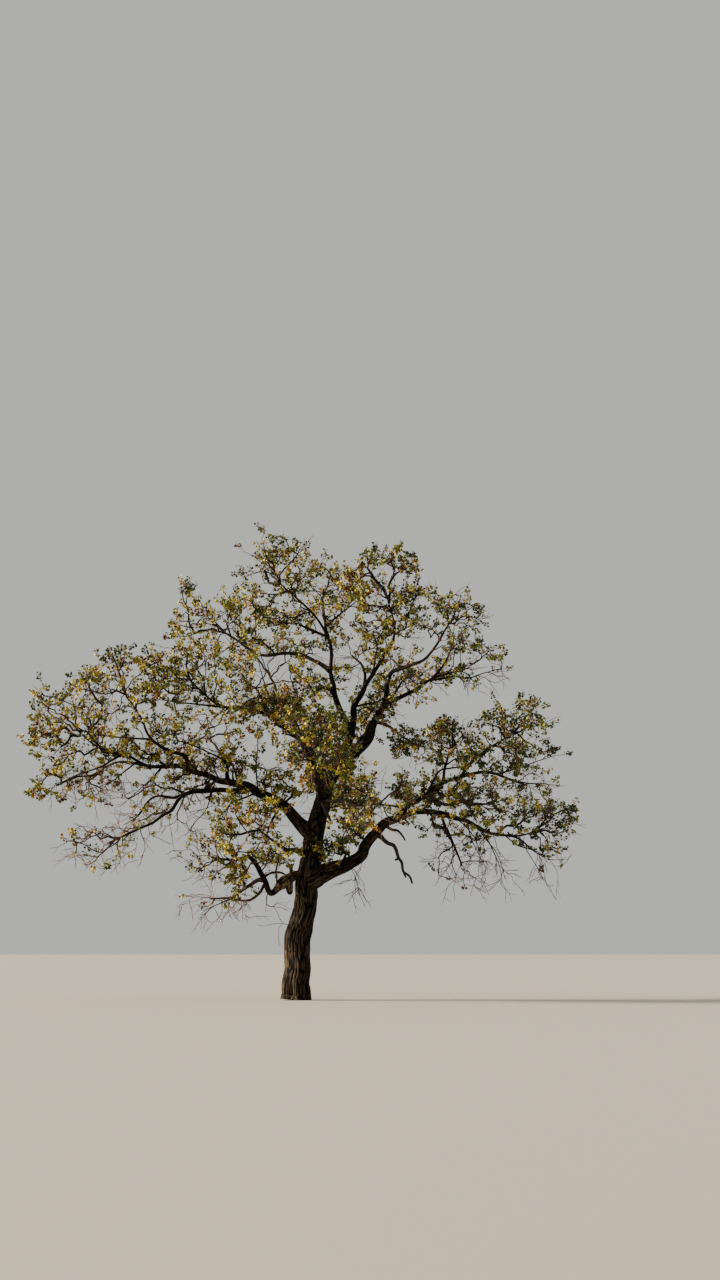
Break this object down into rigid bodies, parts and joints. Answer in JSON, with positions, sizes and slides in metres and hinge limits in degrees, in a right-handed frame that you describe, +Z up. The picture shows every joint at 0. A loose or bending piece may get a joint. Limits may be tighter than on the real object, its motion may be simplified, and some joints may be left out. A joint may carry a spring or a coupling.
{
  "type": "plains cottonwood tree",
  "caption": "Whole open-grown cottonwood tree: leaning furrowed trunk, wide crooked boughs and an open, see-through crown in early autumn colour.",
  "frame": {"origin": "middle of the flat cut under the trunk, at ground level", "axes": "+Z up, +X to the right of the picture, where the trunk leans, +Y away from its camera"},
  "size_m": [15.7429, 12.3597, 12.9532],
  "materials": {
    "bark": "rough furrowed bark",
    "dead_wood": "weathered bare wood",
    "foliage": "leaves and twigs, olive green to gold and russet"
  },
  "bodies": {
    "root": {"trunk": "bark", "left_bough": "bark", "right_bough": "bark", "upper_right_bough": "bark", "crown_bough": "bark", "crown_left_bough": "bark", "crown_left_side_bough": "bark", "crown_back_bough": "bark", "crown_side_bough": "bark", "upper_right_riser": "bark", "upper_right_spur": "bark", "upper_left_bough": "bark", "upper_left_front_bough": "bark", "left_riser": "bark", "left_back_bough": "bark", "left_hanger": "bark", "left_under_bough": "bark", "low_left_bough": "bark", "low_left_fork": "bark", "low_front_bough": "bark", "right_upper_bough": "bark", "right_riser": "bark", "right_inner_riser": "bark", "right_front_bough": "bark", "right_hanger": "bark", "front_bough": "bark", "front_right_bough": "bark", "back_left_bough": "bark", "back_right_bough": "bark", "back_low_bough": "bark", "dead_limb": "dead_wood", "left_bough_foliage": "foliage", "right_bough_foliage": "foliage", "upper_right_bough_foliage": "foliage", "crown_bough_foliage": "foliage", "crown_left_bough_foliage": "foliage", "crown_left_side_bough_foliage": "foliage", "crown_back_bough_foliage": "foliage", "crown_side_bough_foliage": "foliage", "upper_right_riser_foliage": "foliage", "upper_right_spur_foliage": "foliage", "upper_left_bough_foliage": "foliage", "upper_left_front_bough_foliage": "foliage", "left_riser_foliage": "foliage", "left_back_bough_foliage": "foliage", "left_hanger_foliage": "foliage", "left_under_bough_foliage": "foliage", "low_left_bough_foliage": "foliage", "low_left_fork_foliage": "foliage", "low_front_bough_foliage": "foliage", "right_upper_bough_foliage": "foliage", "right_riser_foliage": "foliage", "right_inner_riser_foliage": "foliage", "right_front_bough_foliage": "foliage", "right_hanger_foliage": "foliage", "front_bough_foliage": "foliage", "front_right_bough_foliage": "foliage", "back_left_bough_foliage": "foliage", "back_right_bough_foliage": "foliage", "back_low_bough_foliage": "foliage"}
  },
  "joints": []
}
